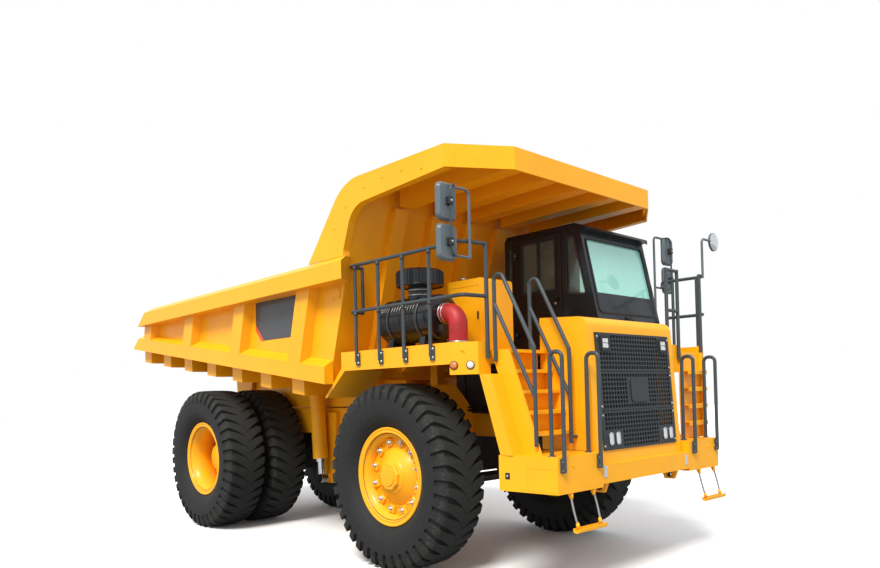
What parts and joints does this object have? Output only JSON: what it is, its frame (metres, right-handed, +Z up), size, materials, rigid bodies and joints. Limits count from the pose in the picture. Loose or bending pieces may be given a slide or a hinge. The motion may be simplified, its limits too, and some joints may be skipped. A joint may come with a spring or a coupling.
{
  "type": "mining dump truck",
  "caption": "Rigid mining dump truck with a canopied tipping body, twin rear tyres, a black offset cab, railed decks and a fine-meshed front grille.",
  "frame": {"origin": "on the ground, midway along the wheelbase and midway across the truck", "axes": "+X forward, +Y to the truck's left, +Z up"},
  "size_m": [8.6, 4.04, 4.145],
  "materials": {
    "yellow_paint": "satin",
    "body_paint": "satin",
    "cab_paint": "gloss",
    "rim_paint": "satin",
    "grille_paint": "satin",
    "radiator_core": "matt",
    "engine_paint": "matt",
    "driveline_paint": "satin",
    "strut_paint": "satin",
    "chrome_rod": "polished",
    "grey_steel": "satin",
    "black_enamel": "gloss",
    "dark_plastic": "matt",
    "red_hose": "satin",
    "seat_cloth": "woven",
    "tyre_rubber": "matt",
    "window_glass": "clear",
    "lamp_lens": "clear"
  },
  "bodies": {
    "chassis": {"frame_rails": "yellow_paint", "bumper": "yellow_paint", "hood": "yellow_paint", "grille": "grille_paint", "radiator": "radiator_core", "engine_block": "engine_paint", "transmission": "driveline_paint", "rear_axle": "driveline_paint", "suspension_struts": "strut_paint", "steering_cylinders": "strut_paint", "right_deck": "yellow_paint", "left_deck": "yellow_paint", "right_stairs": "yellow_paint", "left_ladder": "yellow_paint", "deck_railings": "grey_steel", "step_handrails": "grey_steel", "hanging_steps": "yellow_paint", "cab_shell": "cab_paint", "cab_glass": "window_glass", "operator_seat": "seat_cloth", "steering_console": "dark_plastic", "air_cleaner": "black_enamel", "intake_elbow": "red_hose", "deck_cabinet": "yellow_paint", "fuel_tank": "yellow_paint", "mirrors": "grey_steel", "lamps": "lamp_lens"},
    "dump_body": {"body_floor": "body_paint", "body_sides": "body_paint", "headboard": "body_paint", "canopy": "body_paint"},
    "track_rod": {"track_rod": "grey_steel"},
    "steering_rods": {"steering_rods": "chrome_rod"},
    "cab_door": {"door_right": "cab_paint", "door_glass": "window_glass"},
    "hoist_barrel_right": {"hoist_barrel_right": "body_paint"},
    "hoist_sleeve_right": {"hoist_sleeve_right": "chrome_rod"},
    "hoist_rod_right": {"hoist_rod_right": "chrome_rod"},
    "hoist_barrel_left": {"hoist_barrel_left": "body_paint"},
    "hoist_sleeve_left": {"hoist_sleeve_left": "chrome_rod"},
    "hoist_rod_left": {"hoist_rod_left": "chrome_rod"},
    "knuckle_right": {"knuckle_right": "driveline_paint"},
    "wheel_front_right": {"tyre_front_right": "tyre_rubber", "rim_front_right": "rim_paint"},
    "wheels_rear_right": {"tyres_rear_right": "tyre_rubber", "rims_rear_right": "rim_paint"},
    "knuckle_left": {"knuckle_left": "driveline_paint"},
    "wheel_front_left": {"tyre_front_left": "tyre_rubber", "rim_front_left": "rim_paint"},
    "wheels_rear_left": {"tyres_rear_left": "tyre_rubber", "rims_rear_left": "rim_paint"}
  },
  "joints": [
    {"name": "dump_hinge", "type": "hinge", "parent": "chassis", "child": "dump_body", "pos_m": [-3.05, 0, 1.55], "axis": [0, -1, 0], "range_deg": [0, 50]},
    {"name": "hoist_pin_right", "type": "hinge", "parent": "dump_body", "child": "hoist_barrel_right", "pos_m": [-0.7, -0.62, 2.15], "axis": [0, -1, 0], "range_deg": [-29.5, 0]},
    {"name": "hoist_sleeve_slide_right", "type": "slide", "parent": "hoist_barrel_right", "child": "hoist_sleeve_right", "axis": [0.0756, 0, -0.9971], "range_m": [0, 0.948]},
    {"name": "hoist_rod_slide_right", "type": "slide", "parent": "hoist_sleeve_right", "child": "hoist_rod_right", "axis": [0.0756, 0, -0.9971], "range_m": [0, 0.948]},
    {"name": "hoist_pin_left", "type": "hinge", "parent": "dump_body", "child": "hoist_barrel_left", "pos_m": [-0.7, 0.62, 2.15], "axis": [0, -1, 0], "range_deg": [-29.5, 0]},
    {"name": "hoist_sleeve_slide_left", "type": "slide", "parent": "hoist_barrel_left", "child": "hoist_sleeve_left", "axis": [0.0756, 0, -0.9971], "range_m": [0, 0.948]},
    {"name": "hoist_rod_slide_left", "type": "slide", "parent": "hoist_sleeve_left", "child": "hoist_rod_left", "axis": [0.0756, 0, -0.9971], "range_m": [0, 0.948]},
    {"name": "steer_right", "type": "hinge", "parent": "chassis", "child": "knuckle_right", "pos_m": [2.06, -0.86, 0.975], "axis": [0, 0, 1], "range_deg": [-39, 39]},
    {"name": "front_wheel_spin_right", "type": "hinge", "parent": "knuckle_right", "child": "wheel_front_right", "pos_m": [2.06, -1.358, 0.975], "axis": [0, 1, 0], "continuous": true},
    {"name": "rear_wheel_spin_right", "type": "hinge", "parent": "chassis", "child": "wheels_rear_right", "pos_m": [-2.06, -1.452, 0.975], "axis": [0, 1, 0], "continuous": true},
    {"name": "steer_left", "type": "hinge", "parent": "chassis", "child": "knuckle_left", "pos_m": [2.06, 0.86, 0.975], "axis": [0, 0, 1], "range_deg": [-39, 39]},
    {"name": "front_wheel_spin_left", "type": "hinge", "parent": "knuckle_left", "child": "wheel_front_left", "pos_m": [2.06, 1.358, 0.975], "axis": [0, 1, 0], "continuous": true},
    {"name": "rear_wheel_spin_left", "type": "hinge", "parent": "chassis", "child": "wheels_rear_left", "pos_m": [-2.06, 1.452, 0.975], "axis": [0, 1, 0], "continuous": true},
    {"name": "track_rod_shift", "type": "slide", "parent": "chassis", "child": "track_rod", "axis": [0, 1, 0], "range_m": [-0.2025, 0.2025]},
    {"name": "steering_rods_shift", "type": "slide", "parent": "chassis", "child": "steering_rods", "axis": [0, 1, 0], "range_m": [-0.2025, 0.2025]},
    {"name": "cab_door_hinge", "type": "hinge", "parent": "chassis", "child": "cab_door", "pos_m": [2.31, 0.235, 2.96], "axis": [0, 0, -1], "range_deg": [0, 85]}
  ],
  "couplings": [
    {"joint": "hoist_pin_right", "follows": "dump_hinge", "ratio": -0.5886},
    {"joint": "hoist_sleeve_slide_right", "follows": "dump_hinge", "m_per_rad": 1.0851},
    {"joint": "hoist_rod_slide_right", "follows": "dump_hinge", "m_per_rad": 1.0851},
    {"joint": "hoist_pin_left", "follows": "dump_hinge", "ratio": -0.5886},
    {"joint": "hoist_sleeve_slide_left", "follows": "dump_hinge", "m_per_rad": 1.0851},
    {"joint": "hoist_rod_slide_left", "follows": "dump_hinge", "m_per_rad": 1.0851},
    {"joint": "steer_left", "follows": "steer_right", "ratio": 1},
    {"joint": "track_rod_shift", "follows": "steer_right", "m_per_rad": -0.2959},
    {"joint": "steering_rods_shift", "follows": "steer_right", "m_per_rad": 0.2959}
  ]
}
